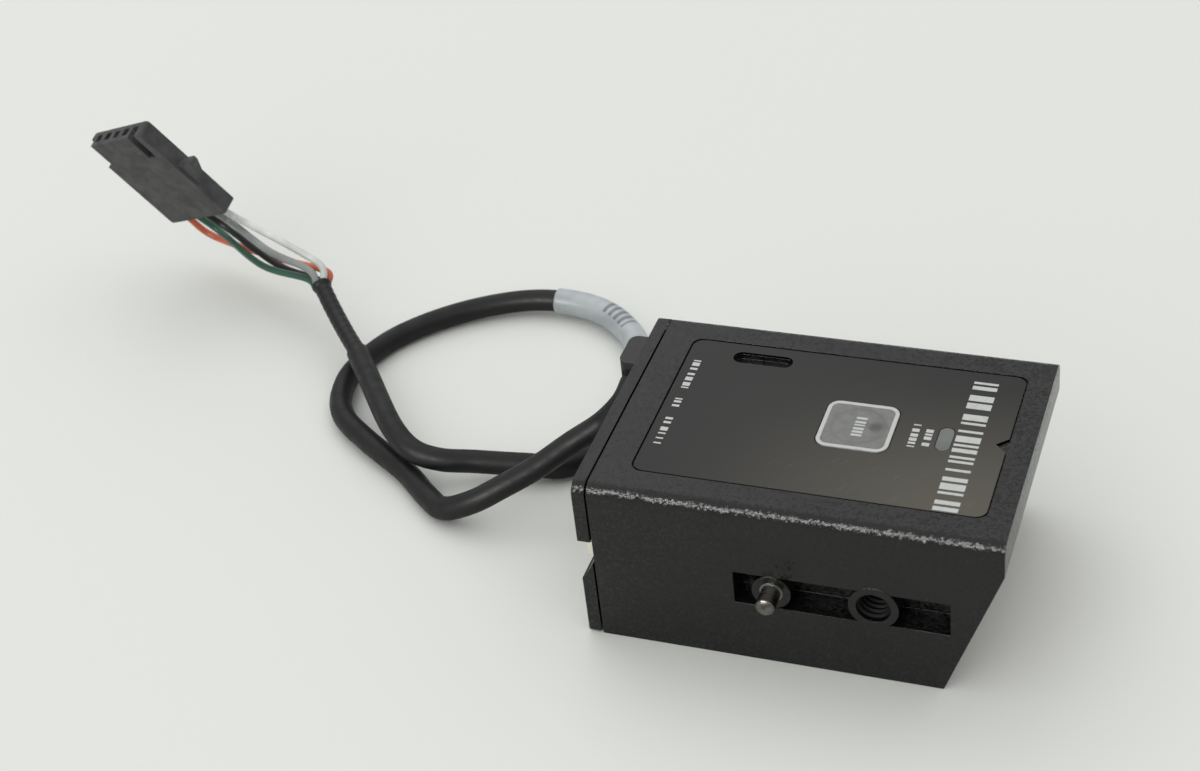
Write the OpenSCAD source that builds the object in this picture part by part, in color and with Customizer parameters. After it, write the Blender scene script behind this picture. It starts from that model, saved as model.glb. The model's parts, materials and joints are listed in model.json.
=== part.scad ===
// Compact fixed-mount laser scanner module with a pigtail cable.
// Frame: origin at the centre of the case's flat base, +X towards the scan window, +Z up, millimetres.

/* [Case] */
// Width across the case
body_w = 30; // [29.8:0.1:30.2]
// Height of the case
body_h = 19.8; // [19.7:0.1:20]
// Length of the case at its top, without the rear cover
body_len = 41.8; // [41.6:0.1:42.2]
// Length of the flat base
base_len = 35.9; // [35.7:0.1:36.1]
// Height of the upright lip above the sloping front
lip_h = 3.8; // [3.6:0.1:4]
// Radius of the two long top edges
edge_r = 1.4; // [1.2:0.1:1.6]
// Thickness of the side walls
wall = 1.4; // [1.3:0.05:1.45]
// Thickness of the top wall
top_t = 1.5; // [1.4:0.05:1.55]
// Thickness of the floor
floor_t = 1.2; // [1.1:0.05:1.25]

/* [Rear cover] */
// Thickness of the rear cover with its parting gap
cover_t = 1.55; // [1.5:0.05:1.8]
// Width of the open parting line
part_gap = 0.2; // [0.1:0.05:0.3]

/* [Top label] */
// Length of the label film
label_len = 35.6; // [35.4:0.1:35.7]
// Width of the label film
label_w = 22.4; // [22.2:0.1:22.6]
// Thickness of the label film
label_t = 0.25; // [0.2:0.05:0.3]
// Side of the square scan button
button_w = 7.5; // [7.3:0.1:7.6]
// Travel of the scan button
button_travel = 0.3; // [0.2:0.05:0.35]

/* [Side mounting] */
// Diameter of the locating pin's free end
pin_d = 2; // [1.9:0.05:2]
// Length of the locating pin's free end
pin_out = 2.6; // [2.2:0.1:3]
// Diameter of the mounting screw's tapped hole
screw_hole_d = 3.5; // [3.3:0.1:3.6]
// Depth of the tapped hole
screw_hole_depth = 5; // [4:0.5:5]

/* [Scan mirror] */
// Width of the scan mirror
mirror_w = 8; // [7:0.5:8]
// Height of the scan mirror
mirror_h = 5.6; // [5:0.2:5.6]

/* [Cable] */
// Diameter of the cable
cable_d = 2.7; // [2.5:0.1:2.7]
// Diameter of one insulated wire
wire_d = 0.9; // [0.8:0.05:0.9]
// Length of the plug housing at the cable's end
plug_len = 15.7; // [15:0.1:16.5]
// Width of the plug housing
plug_w = 12; // [11.8:0.1:12.4]
// Thickness of the plug housing
plug_t = 2.4; // [2.3:0.1:2.6]

/* [Hidden] */
$fn = 48;
fine = 0.02;
x_rear = -base_len / 2;
x_toe = base_len / 2;
x_front = x_rear + body_len;
slope_z = body_h - lip_h;
slope = atan((x_front - x_toe) / slope_z);
half_w = body_w / 2;
in_y = half_w - wall;
in_top = body_h - top_t;
front_wall = 2.2;
window_t = 1;
window_w = 24.4;
window_l = 13;
window_z = 2.2;
window_rim = 1.2;
window_seat = 1.4;
window_in = 0.08;
window_gap = 0.1;
window_r = 0.6;
window_mid = window_z + window_l / 2;

// label and the openings in it
label_x = x_rear + 21.4;
label_gap = 0.15;
label_r = 1.2;
label_sunk = 0.05;
label_z = body_h - label_t - label_sunk;
recess_depth = label_t + label_sunk;
notch_l = 1.15;
notch_half_w = 1.95;
button_x = x_rear + 24.1;
button_r = 1.3;
button_gap = 0.1;
flange_rim = 0.6;
flange_z = in_top - 0.7;
lamp_x = x_rear + 33;
lamp_y = -0.2;
lamp_l = 1.5;
lamp_w = 3.6;
lamp_r = 0.7;
lamp_gap = 0.03;
sound_x = x_rear + 11.7;
sound_y = 8.95;
sound_l = 6.4;
sound_w = 1.8;
sound_depth = 0.9;

// pocket in the near side, with a pin boss and a screw boss
pocket_x0 = x_rear + 14.75;
pocket_x1 = x_rear + 36.6;
pocket_z0 = 7.45;
pocket_z1 = 11.45;
pocket_depth = 3;
liner = 1.2;
boss_z = 9.55;
pin_x = x_rear + 18.65;
pin_boss_r = 2.02;
screw_x = x_rear + 29;
screw_boss_r = 2.55;
boss_proud = 0.1;
pin_shank_r = pin_d / 2 + 0.2;
pin_chamfer = 0.25;
pin_inside = 3.6;
boss_root = pocket_depth + 0.2;
block_in = 0.5;
tap_r = 0.62;

// circuit boards
board_z = 14;
board_t = 0.8;
board_top = board_z + board_t;
board_x0 = x_rear + 2.15;
board_x1 = 19.6;
board_w = 26;
ledge_t = 1.2;
part_z = board_top + fine;
switch_in = board_top + 0.9;
plate_z = 2.2;
plate_t = 1.2;
plate_top = plate_z + plate_t;

// optics: the beam leaves the barrel along +Y, meets the mirror and leaves along +X
beam_z = 8.6;
beam_x = -6;
mirror_ahead = 2;
mirror_t = 0.7;
pivot_x = beam_x - mirror_ahead * cos(45);
pivot_y = mirror_ahead * sin(45);
pivot_r = 0.5;
barrel_r = 3;
barrel_y0 = -10.6;
barrel_y1 = -4.6;
barrel_lip = 0.7;
eye_y = 9.6;
eye_r = 3;
eye_board_x = -5.6;

// rear cover fasteners, chassis fasteners and board fasteners
cover_screw_y = 11.9;
cover_screw_z = 3.2;
cover_boss_r = 1.9;
cover_boss_x0 = x_rear + 1.3;
cover_boss_x1 = x_rear + 6.3;
post_r = 1.5;
sunk = 0.5;
chassis_screw_at = [[12, -9.5], [5.5, 11.4], [-9.5, 11.4]];
board_screw_at = [[13, 11], [-12.6, -7.9]];

// cable outlet
boot_x = x_rear - cover_t;
boot_len = 3.4;
boot_y0 = 9.2;
boot_y1 = 14.2;
boot_z0 = 12.3;
boot_z1 = 16.9;
neck_y0 = 9.9;
neck_y1 = 12.2;
neck_z0 = 13;
neck_z1 = 16;

// plug: wire end, direction of its axis, roll about it
plug_at = [-90.2, 37.9, 10.3];
plug_turn = 210.3;
plug_rise = 58.4;
plug_roll = -131.6;
wire_pitch = 2;
cavity_w = 1.1;
keyway_l = 4;
keyway_w = 1.4;
keyway_depth = 1.3;
latch_x0 = 5.1;
latch_x1 = 9;
latch_h = 2.2;
latch_top = 0.6;
latch_t = 1.4;

// each wire's place round the bundle, chosen so that the fanned wires never cross
wire_slot = [0, 1, 3, 2, 4];
bundle_r = 0.82;
fan_out = 1.1;
wire_lead = 2.6;
wire_lead_step = 0.6;
fork_flare = 0.25;
sleeve_r = 1.05;
sleeve_gap = 0.18;
marker_gap = 0.04;
marker_t = 0.2;
inner_wire_r = 0.19;
inner_wire_pitch = 1.25;
inner_wire_y = -1.9;
inner_wire_z = board_top + 1.4;

// waypoints of the cable, from the outlet round two turns to the end of its jacket
cable_way = [
    [-21.4, 9.16, 14.4], [-21.9, 6.9, 13.2], [-24.4, 6.4, 10.3],
    [-27.6, 4.5, 8.4], [-30.9, 2, 6.5], [-34.3, -0.3, 5],
    [-37.6, -1.8, 3.4], [-41.3, -1.7, 1.7], [-44, 0, 1.4],
    [-48.5, 3.8, 1.4], [-54.9, 7.8, 1.6], [-59.7, 11.6, 1.5],
    [-62, 15.9, 1.4], [-62.4, 21.4, 1.4], [-59.6, 28.6, 1.4],
    [-52.9, 35, 1.6], [-44.4, 38.5, 1.9], [-35.8, 37.3, 2.1],
    [-29.5, 31.8, 1.9], [-26.1, 22.8, 1.8], [-26.8, 14.3, 1.5],
    [-30.2, 8.8, 1.4], [-34.8, 7.2, 2], [-40.3, 5.7, 2.7],
    [-44.1, 4.4, 3.4], [-47.5, 4.6, 4.1], [-51.3, 7.5, 4.8],
    [-57.3, 15.1, 4.7], [-61.4, 20.4, 4.5]
];
sleeve_way = [[-61.52, 20.56, 4.49], [-64.2, 23.3, 5], [-67.3, 26.6, 5.9], [-70, 29.6, 6.9]];
steps = 4;
sides = 10;
wire_sides = 8;
wire_steps = 5;

// ---- shared shapes ----

// block centred on X and Y with four rounded upright edges
module round_block(l, w, t, r) {
    translate([-l / 2 + r, -w / 2, 0]) cube([l - 2 * r, w, t]);
    translate([-l / 2, -w / 2 + r, 0]) cube([l, w - 2 * r, t]);
    for (sx = [-1, 1], sy = [-1, 1])
        translate([sx * (l / 2 - r), sy * (w / 2 - r), 0]) cylinder(r = r, h = t);
}

// bar along X with the case's cross-section, whose long top edges are round
module case_bar(x0, x1, z0) {
    translate([x0, -half_w, z0]) cube([x1 - x0, body_w, body_h - edge_r - z0]);
    translate([x0, -half_w + edge_r, z0]) cube([x1 - x0, body_w - 2 * edge_r, body_h - z0]);
    for (s = [-1, 1])
        translate([x0, s * (half_w - edge_r), body_h - edge_r])
            rotate([0, 90, 0]) cylinder(r = edge_r, h = x1 - x0);
}

// prism across the case with a side-view outline in X and Z
module side_prism(outline, y0, y1) {
    translate([0, y1, 0]) rotate([90, 0, 0]) linear_extrude(y1 - y0) polygon(outline);
}

// cylinder along +Y from y0 to y1
module rod_y(x, z, r, y0, y1) {
    translate([x, y0, z]) rotate([-90, 0, 0]) cylinder(r = r, h = y1 - y0);
}

// cylinder along +X from x0 to x1
module rod_x(y, z, r, x0, x1) {
    translate([x0, y, z]) rotate([0, 90, 0]) cylinder(r = r, h = x1 - x0);
}

// screw that points down, with its head's seat at the origin
module down_screw(r, length, head_r, head_h) {
    difference() {
        union() {
            cylinder(r = head_r, h = head_h);
            translate([0, 0, -length]) cylinder(r = r, h = length);
        }
        translate([-head_r, -0.12, head_h - 0.35]) cube([2 * head_r, 0.24, 1]);
        translate([-0.12, -head_r, head_h - 0.35]) cube([0.24, 2 * head_r, 1]);
    }
}

// frame of the sloping front: local X points out of the face, local Z up the slope
module on_slope() {
    translate([x_toe, 0, 0]) rotate([0, slope, 0]) children();
}

// frame of the mirror's rotor: origin on the pivot, local X out of the mirror
module on_rotor() {
    translate([pivot_x, pivot_y, 0]) rotate([0, 0, -45]) children();
}

// frame of the plug: origin at its wire end's centre, local X towards its mating end
module on_plug() {
    translate(plug_at)
        rotate([0, 0, plug_turn]) rotate([0, -plug_rise, 0]) rotate([plug_roll, 0, 0]) children();
}

// ---- swept cables ----

function unit(v) = v / norm(v);
function spline(a, b, c, d, t) =
    0.5 * (2 * b + (c - a) * t + (2 * a - 5 * b + 4 * c - d) * t * t + (3 * b - a - 3 * c + d) * t * t * t);
function smooth(way, n) = [
    for (i = [0:len(way) - 2], k = [0:n - 1])
        spline(way[max(i - 1, 0)], way[i], way[i + 1], way[min(i + 2, len(way) - 1)], k / n),
    way[len(way) - 1]
];
function heading(p, i) = unit(p[min(i + 1, len(p) - 1)] - p[max(i - 1, 0)]);
function ring(at, dir, r, n) =
    let (side = unit(cross(dir, [0, 0, 1])), up = cross(side, dir))
    [for (k = [0:n - 1]) at + r * (cos(360 * k / n) * side + sin(360 * k / n) * up)];
function rings(p, radii, n) = [for (i = [0:len(p) - 1]) each ring(p[i], heading(p, i), radii[i], n)];
function skin(rows, n, base, flip) = [
    for (i = [0:rows - 2], k = [0:n - 1])
        let (a = base + i * n + k, b = base + i * n + (k + 1) % n, c = b + n, d = a + n)
        each flip ? [[a, b, c], [a, c, d]] : [[a, c, b], [a, d, c]]
];

// solid rod that follows the points p
module swept_rod(p, radii, n) {
    last = (len(p) - 1) * n;
    polyhedron(
        rings(p, radii, n),
        concat(
            skin(len(p), n, 0, false),
            [[for (k = [0:n - 1]) k]],
            [[for (k = [0:n - 1]) last + n - 1 - k]]
        )
    );
}

// faces of a tube whose outer rings come before its inner rings
function tube_faces(rows, n) =
    let (inner = rows * n)
    concat(
        skin(rows, n, 0, false),
        skin(rows, n, inner, true),
        [for (e = [0, (rows - 1) * n], k = [0:n - 1])
            let (k2 = (k + 1) % n)
            each e == 0
                ? [[k, k2, inner + k2], [k, inner + k2, inner + k]]
                : [[e + k, inner + e + k2, e + k2], [e + k, inner + e + k, inner + e + k2]]]
    );

cable_path = smooth(cable_way, steps);
marker_from = 16 * steps + 1;
marker_to = 18 * steps + 2;
sleeve_path = smooth(sleeve_way, steps);
sleeve_last = len(sleeve_path) - 1;
sleeve_radii = [for (i = [0:sleeve_last]) i == sleeve_last ? sleeve_r + fork_flare : sleeve_r];
sleeve_end = sleeve_way[len(sleeve_way) - 1];
sleeve_dir = heading(sleeve_path, sleeve_last);

// point of the plug's wire end for wire number i, in the case's frame
function turned_x(v, a) = [v[0], v[1] * cos(a) - v[2] * sin(a), v[1] * sin(a) + v[2] * cos(a)];
function turned_y(v, a) = [v[0] * cos(a) + v[2] * sin(a), v[1], v[2] * cos(a) - v[0] * sin(a)];
function turned_z(v, a) = [v[0] * cos(a) - v[1] * sin(a), v[0] * sin(a) + v[1] * cos(a), v[2]];
function plug_point(v) = plug_at + turned_z(turned_y(turned_x(v, plug_roll), -plug_rise), plug_turn);
function wire_offset(i) = (i - 2) * wire_pitch;
sleeve_side = unit(cross(sleeve_dir, [0, 0, 1]));
sleeve_up = cross(sleeve_side, sleeve_dir);
function bundle_out(i) = let (a = 72 * wire_slot[i] + 60) cos(a) * sleeve_side + sin(a) * sleeve_up;
function wire_way(i) =
    let (
        root = sleeve_end + sleeve_gap * sleeve_dir + bundle_r * bundle_out(i),
        lead = plug_point([-wire_lead - wire_lead_step * i, wire_offset(i) - 0.9, 0]),
        mouth = plug_point([-0.5, wire_offset(i), 0]),
        end = plug_point([0.7, wire_offset(i), 0]),
        bulge = fan_out * bundle_out(i)
    )
    [
        root,
        root + 2.2 * sleeve_dir + 0.5 * bulge,
        0.55 * root + 0.45 * lead + [-0.3, -0.1, 0.3] + bulge,
        lead,
        mouth,
        end
    ];

module plug_wire(i) {
    p = smooth(wire_way(i), wire_steps);
    swept_rod(p, [for (q = p) wire_d / 2], wire_sides);
}

// ---- case ----

module case_shell() {
    intersection() {
        case_bar(x_rear, x_front, 0);
        side_prism(
            [[x_rear, 0], [x_toe, 0], [x_front, slope_z], [x_front, body_h], [x_rear, body_h]],
            -half_w, half_w
        );
    }
}

module case_cavity() {
    back = front_wall / cos(slope);
    side_prism(
        [
            [x_rear - 1, floor_t],
            [x_toe + floor_t * tan(slope) - back, floor_t],
            [x_front - back, slope_z],
            [x_front - back, in_top],
            [x_rear - 1, in_top]
        ],
        -in_y, in_y
    );
}

module pocket_block() {
    l = pocket_x1 - pocket_x0 + 2 * liner;
    h = pocket_z1 - pocket_z0 + 2 * liner;
    translate([pocket_x0 - liner, -half_w + block_in, pocket_z0 - liner])
        cube([l, pocket_depth + liner - block_in, h]);
}

module pocket_cut() {
    translate([pocket_x0, -half_w - 1, pocket_z0])
        cube([pocket_x1 - pocket_x0, pocket_depth + 1, pocket_z1 - pocket_z0]);
}

// the two bosses stand a little proud of the side, as the seat for a bracket
module side_bosses() {
    rod_y(pin_x, boss_z, pin_boss_r, -half_w - boss_proud, -half_w + boss_root);
    rod_y(screw_x, boss_z, screw_boss_r, -half_w - boss_proud, -half_w + boss_root);
    rod_y(screw_x, boss_z, screw_boss_r, -half_w + pocket_depth, -half_w + screw_hole_depth + 0.8);
}

module side_holes() {
    rod_y(pin_x, boss_z, pin_shank_r, -half_w - 1, -half_w + pin_inside + 0.1);
    rod_y(screw_x, boss_z, screw_hole_d / 2, -half_w - 1, -half_w + screw_hole_depth);
}

module window_cut() {
    on_slope() {
        translate([-window_seat, -window_w / 2 - window_gap, window_z - window_gap])
            cube([3, window_w + 2 * window_gap, window_l + 2 * window_gap]);
        translate([-5, -window_w / 2 + window_rim, window_z + window_rim])
            cube([8, window_w - 2 * window_rim, window_l - 2 * window_rim]);
    }
}

// cutter for the lamp's window, from z upwards
module lamp_slot(z) {
    translate([lamp_x, lamp_y, z]) round_block(lamp_l + 2 * lamp_gap, lamp_w + 2 * lamp_gap, 4, lamp_r);
}

// cutter for the oblong over the buzzer, from z upwards
module sound_slot(z) {
    translate([sound_x, sound_y, z]) round_block(sound_l, sound_w, 4, sound_w / 2 - 0.01);
}

module top_openings() {
    translate([label_x, 0, body_h - recess_depth])
        round_block(label_len + 2 * label_gap, label_w + 2 * label_gap, 1, label_r);
    translate([button_x, 0, in_top - 1])
        round_block(button_w + 2 * button_gap, button_w + 2 * button_gap, 4, button_r);
    lamp_slot(in_top - 1);
    sound_slot(body_h - sound_depth);
}

module floor_pads() {
    for (p = chassis_screw_at)
        translate([p[0], p[1], floor_t - 0.1]) cylinder(r = 1.8, h = plate_z - floor_t + 0.1 - fine);
}

module cover_screw_bosses() {
    for (s = [-1, 1]) {
        rod_x(s * cover_screw_y, cover_screw_z, cover_boss_r, cover_boss_x0, cover_boss_x1);
        translate([cover_boss_x0, s * (cover_screw_y + 0.9) - 0.9, floor_t - 0.1])
            cube([cover_boss_x1 - cover_boss_x0, 1.8, 2]);
    }
}

module board_ledges() {
    for (x = [-11, 16], s = [-1, 1])
        translate([x, s * (in_y - 0.4) - 0.9, board_z - ledge_t]) cube([3, 1.8, ledge_t - fine]);
}

module housing() {
    color([0.2, 0.21, 0.2])
    difference() {
        union() {
            difference() {
                union() {
                    difference() {
                        case_shell();
                        case_cavity();
                    }
                    intersection() {
                        case_shell();
                        pocket_block();
                    }
                }
                pocket_cut();
            }
            side_bosses();
            floor_pads();
            cover_screw_bosses();
            intersection() {
                case_shell();
                board_ledges();
            }
        }
        side_holes();
        window_cut();
        top_openings();
        for (p = chassis_screw_at) translate([p[0], p[1], 0.5]) cylinder(r = tap_r, h = 3);
        for (s = [-1, 1]) rod_x(s * cover_screw_y, cover_screw_z, 0.82, x_rear, x_rear + 5.3);
    }
}

// ---- rear cover and cable outlet ----

module cover_notch() {
    side_prism(
        [
            [x_rear + 1, 12.45],
            [x_rear - 3, 12.45],
            [x_rear - 3, 6.7],
            [x_rear - 1.3, 7.55],
            [x_rear, 10],
            [x_rear + 1, 11.9]
        ],
        -half_w - 1, -half_w + 3.6
    );
}

module rear_cover() {
    rim = 1;
    plug_in = 1.2;
    color([0.17, 0.18, 0.18])
    difference() {
        union() {
            difference() {
                case_bar(boot_x, x_rear - part_gap, 0.25);
                cover_notch();
            }
            difference() {
                translate([x_rear - part_gap - fine, -in_y + 0.05, floor_t + 0.05])
                    cube([plug_in + part_gap, 2 * in_y - 0.1, in_top - floor_t - 0.1]);
                translate([x_rear - part_gap, -in_y + rim, floor_t + rim])
                    cube([plug_in + 2, 2 * in_y - 2 * rim, in_top - floor_t - 2 * rim]);
            }
        }
        translate([boot_x - 1, neck_y0 - 0.05, neck_z0 - 0.05])
            cube([3, neck_y1 - neck_y0 + 0.1, neck_z1 - neck_z0 + 0.1]);
        for (s = [-1, 1]) {
            rod_x(s * cover_screw_y, cover_screw_z, 1.1, boot_x - 1, x_rear + 3);
            rod_x(s * cover_screw_y, cover_screw_z, 1.95, boot_x - 1, boot_x + 0.9);
            rod_x(s * cover_screw_y, cover_screw_z, cover_boss_r + 0.05, x_rear + 1.28, x_rear + 3);
        }
    }
}

module cover_screws() {
    color([0.62, 0.63, 0.64])
    for (s = [-1, 1])
        translate([boot_x + 0.88, s * cover_screw_y, cover_screw_z]) rotate([0, -90, 0])
            down_screw(0.8, 5.6, 1.8, 0.8);
}

module strain_relief() {
    color([0.13, 0.13, 0.13])
    difference() {
        union() {
            translate([boot_x - fine - boot_len / 2, (boot_y0 + boot_y1) / 2, boot_z0])
                round_block(boot_len, boot_y1 - boot_y0, boot_z1 - boot_z0, 1);
            translate([boot_x - 0.5, neck_y0, neck_z0])
                cube([cover_t + 0.5 + 0.5, neck_y1 - neck_y0, neck_z1 - neck_z0]);
            translate([x_rear - part_gap + fine, neck_y0 - 0.6, neck_z0 - 0.5])
                cube([0.8, neck_y1 - neck_y0 + 0.85, neck_z1 - neck_z0 + 1]);
        }
        rod_y(cable_way[0][0], cable_way[0][2], cable_d / 2 + 0.25, boot_y0 - 1, boot_y0 + 0.5);
    }
}

module ground_clip() {
    clip_t = 0.14;
    clip_h = 1.75;
    clip_lip = 0.55;
    color([0.85, 0.82, 0.7])
    translate([x_rear - part_gap + 0.04, -half_w + 0.25, 10.6]) {
        cube([clip_t, 1, clip_h]);
        translate([-clip_lip, 0, 0]) cube([clip_lip + clip_t, clip_t, clip_h]);
    }
}

// ---- window, label, button and lamp ----

module front_window() {
    color([0.25, 0.03, 0.04, 0.75])
    on_slope() translate([-window_t - window_in, 0, window_mid])
        rotate([0, 90, 0]) round_block(window_l, window_w, window_t, window_r);
}

module window_gasket() {
    gasket_t = window_seat - window_t - window_in - 2 * fine;
    color([0.1, 0.1, 0.1])
    on_slope() difference() {
        translate([-window_seat + fine, 0, window_mid])
            rotate([0, 90, 0]) round_block(window_l, window_w, gasket_t, window_r);
        translate([-3, 0, window_mid])
            rotate([0, 90, 0])
                round_block(window_l - 2 * window_rim, window_w - 2 * window_rim, 4, window_r);
    }
}

module top_label() {
    tip_x = label_x + label_len / 2;
    color([0.27, 0.27, 0.25])
    difference() {
        translate([label_x, 0, label_z]) round_block(label_len, label_w, label_t, label_r);
        translate([button_x, 0, label_z - 1])
            round_block(button_w + button_gap, button_w + button_gap, 3, button_r);
        lamp_slot(label_z - 1);
        sound_slot(label_z - 1);
        translate([0, 0, label_z - 1]) linear_extrude(3)
            polygon([[tip_x - notch_l, 0], [tip_x + 1, -notch_half_w], [tip_x + 1, notch_half_w]]);
    }
}

module scan_button() {
    flange_w = button_w + 2 * flange_rim;
    stem_z = flange_z + 0.3;
    color([0.6, 0.6, 0.6]) {
        translate([button_x, 0, stem_z]) round_block(button_w, button_w, body_h - stem_z, button_r);
        translate([button_x, 0, flange_z]) round_block(flange_w, flange_w, 0.6, button_r);
    }
}

module indicator_lens() {
    guide_z = board_top + 0.9;
    color([0.75, 0.75, 0.75])
    translate([lamp_x, lamp_y, 0]) {
        translate([0, 0, guide_z]) round_block(lamp_l, lamp_w, body_h - label_sunk - guide_z, lamp_r);
        translate([0, 0, in_top - 0.8]) round_block(lamp_l + 0.9, lamp_w + 0.9, 0.75, lamp_r);
    }
}

module status_lamp() {
    color([0.9, 0.9, 0.85])
    translate([lamp_x - 0.8, lamp_y - 0.6, part_z]) {
        cube([1.6, 1.2, 0.35]);
        translate([0.3, 0.1, 0.3]) cube([1, 1, 0.4]);
    }
}

module switch_body() {
    color([0.15, 0.15, 0.16])
    difference() {
        translate([button_x, 0, part_z]) round_block(4.6, 4.6, 2.1, 0.4);
        translate([button_x, 0, switch_in]) cylinder(r = 1.06, h = 4);
    }
}

module switch_plunger() {
    foot_z = switch_in + button_travel + 0.05;
    color([0.8, 0.35, 0.15])
    translate([button_x, 0, foot_z]) cylinder(r = 1, h = flange_z - fine - foot_z);
}

// ---- circuit boards and their parts ----

module main_board() {
    color([0.05, 0.3, 0.15])
    difference() {
        translate([board_x0, -board_w / 2, board_z]) cube([board_x1 - board_x0, board_w, board_t]);
        for (p = board_screw_at) translate([p[0], p[1], board_z - 1]) cylinder(r = 0.9, h = 3);
    }
}

// chip on the board, with a row of legs along each of its two long sides
module chip(x, y, l, w, h, pins) {
    leg_w = 0.26;
    leg_l = 0.8;
    pitch = l / pins;
    translate([x - l / 2, y - w / 2, part_z + 0.1]) cube([l, w, h]);
    for (i = [0:pins - 1], s = [-1, 1])
        translate([x - l / 2 + (i + 0.5) * pitch - leg_w / 2, y + s * (w / 2 + 0.25) - leg_l / 2, part_z])
            cube([leg_w, leg_l, 0.3]);
}

module processor_chip() {
    color([0.12, 0.12, 0.12]) chip(-2.5, -7, 7, 7, 1, 10);
}

module memory_chip() {
    color([0.12, 0.12, 0.12]) chip(9, -8.6, 5, 4.4, 0.9, 4);
}

module buzzer() {
    color([0.1, 0.1, 0.1])
    difference() {
        translate([sound_x, sound_y - 0.2, part_z]) round_block(8.4, 7.8, 2.6, 0.8);
        translate([sound_x, sound_y - 0.2, board_top + 2]) cylinder(r = 0.7, h = 3);
    }
}

module board_header() {
    color([0.9, 0.88, 0.8])
    difference() {
        translate([board_x0 + 2.2, -6, part_z]) cube([4, 8.2, 2.8]);
        translate([board_x0 + 1, -5.4, board_top + 0.5]) cube([3, 7, 1.8]);
    }
}

module inner_plug() {
    color([0.88, 0.86, 0.78])
    difference() {
        union() {
            translate([board_x0 + 2.1, -5.35, board_top + 0.55]) cube([1.85, 6.9, 1.7]);
            translate([board_x0 + 0.3, -5.6, board_top + 0.4]) cube([1.85, 7.4, 2]);
        }
        for (i = [-2:2])
            rod_x(inner_wire_y + i * inner_wire_pitch, inner_wire_z, 0.42, board_x0, board_x0 + 1);
    }
}

// one inner wire from the plug on the board, along its own lane, to the cable outlet
module inner_wire(i) {
    start = [board_x0 + 0.9, inner_wire_y + i * inner_wire_pitch, inner_wire_z];
    lane_x = x_rear + 1.35;
    lane_z = board_top + 0.2 + 0.5 * i;
    finish = [x_rear + 0.75, 10.9, lane_z];
    way = [
        start,
        start - [1, 0, 0],
        [lane_x, start[1] + 1.8, (start[2] + lane_z) / 2],
        [lane_x, start[1] + 4.4, lane_z],
        [lane_x, 9.4, lane_z],
        finish
    ];
    p = smooth(way, 3);
    swept_rod(p, [for (q = p) inner_wire_r], 6);
}

module inner_wires() {
    color([0.8, 0.2, 0.15]) for (i = [-2:2]) inner_wire(i);
}

module flex_strip() {
    flex_w = 5;
    flex_t = 0.3;
    flex_z = 9.5;
    color([0.75, 0.5, 0.2]) {
        translate([eye_board_x - 0.35, eye_y - flex_w / 2, flex_z])
            cube([flex_t, flex_w, board_z - 0.05 - flex_z]);
        translate([eye_board_x - 3.5, eye_y - flex_w / 2, board_z - 0.35]) cube([3.3, flex_w, flex_t]);
    }
}

// ---- optics ----

module plate_outline() {
    translate([-14.2, -9.4, plate_z]) cube([29.4, 18.8, plate_t]);
    translate([-11.2, -13.2, plate_z]) cube([26.4, 26.4, plate_t]);
}

module barrel_clamp() {
    translate([beam_x - 4.1, -9.6, plate_top - sunk]) cube([8.2, 4.2, beam_z + 3.6 - plate_top + sunk]);
}

module eye_holder() {
    translate([eye_board_x + 2.1, eye_y - 3.7, plate_top - sunk])
        cube([6, 7.2, beam_z + 3.7 - plate_top + sunk]);
}

module coil_bracket() {
    on_rotor() translate([-9.4, -2.6, plate_top - sunk])
        cube([0.95, 5.2, beam_z + 2.8 - plate_top + sunk]);
}

module optical_chassis() {
    color([0.35, 0.36, 0.38])
    difference() {
        union() {
            plate_outline();
            barrel_clamp();
            eye_holder();
            coil_bracket();
            translate([pivot_x, pivot_y, plate_top - sunk]) cylinder(r = 1.6, h = 2);
            for (p = board_screw_at) translate([p[0], p[1], plate_top - sunk])
                cylinder(r = post_r, h = board_z - plate_top + sunk - fine);
        }
        rod_y(beam_x, beam_z, barrel_r + fine, -14, 0);
        rod_x(eye_y, beam_z, eye_r + fine, eye_board_x + 3.4, 9);
        translate([eye_board_x + 2, eye_y - 2.6, beam_z - 2.6]) cube([1, 5.2, 5.2]);
        translate([eye_board_x + 2, eye_y - 2, beam_z - 2]) cube([3, 4, 4]);
        on_rotor() rod_x(0, beam_z, 1 + fine, -11, -7);
        translate([pivot_x, pivot_y, plate_z - 1]) cylinder(r = pivot_r + 0.01, h = 5);
        for (p = chassis_screw_at) translate([p[0], p[1], plate_z - 1]) cylinder(r = 0.85, h = 4);
        for (p = board_screw_at) translate([p[0], p[1], board_z - 4]) cylinder(r = tap_r, h = 6);
    }
}

module chassis_screws() {
    color([0.62, 0.63, 0.64])
    for (p = chassis_screw_at) translate([p[0], p[1], plate_top + fine]) down_screw(0.6, 2.7, 1.3, 0.9);
}

module board_screws() {
    color([0.62, 0.63, 0.64])
    for (p = board_screw_at) translate([p[0], p[1], board_top + fine]) down_screw(0.6, 4.2, 1.3, 0.9);
}

module laser_barrel() {
    color([0.75, 0.6, 0.3])
    difference() {
        rod_y(beam_x, beam_z, barrel_r, barrel_y0, barrel_y1);
        rod_y(beam_x, beam_z, 1.2, barrel_y0 - 1, barrel_y1 + 1);
        rod_y(beam_x, beam_z, 2.1, barrel_y0 - 1, barrel_y1 - barrel_lip);
        rod_y(beam_x, beam_z, 2.82, barrel_y0 - 1, barrel_y0 + 1.2);
    }
}

module laser_diode() {
    color([0.8, 0.72, 0.45]) {
        rod_y(beam_x, beam_z, 2.8, barrel_y0, barrel_y0 + 1.18);
        rod_y(beam_x, beam_z, 1.7, barrel_y0 + 1, barrel_y0 + 2.9);
        for (x = [-0.7, 0, 0.7]) rod_y(beam_x + x, beam_z, 0.2, barrel_y0 - 2, barrel_y0 + 0.1);
    }
}

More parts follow.
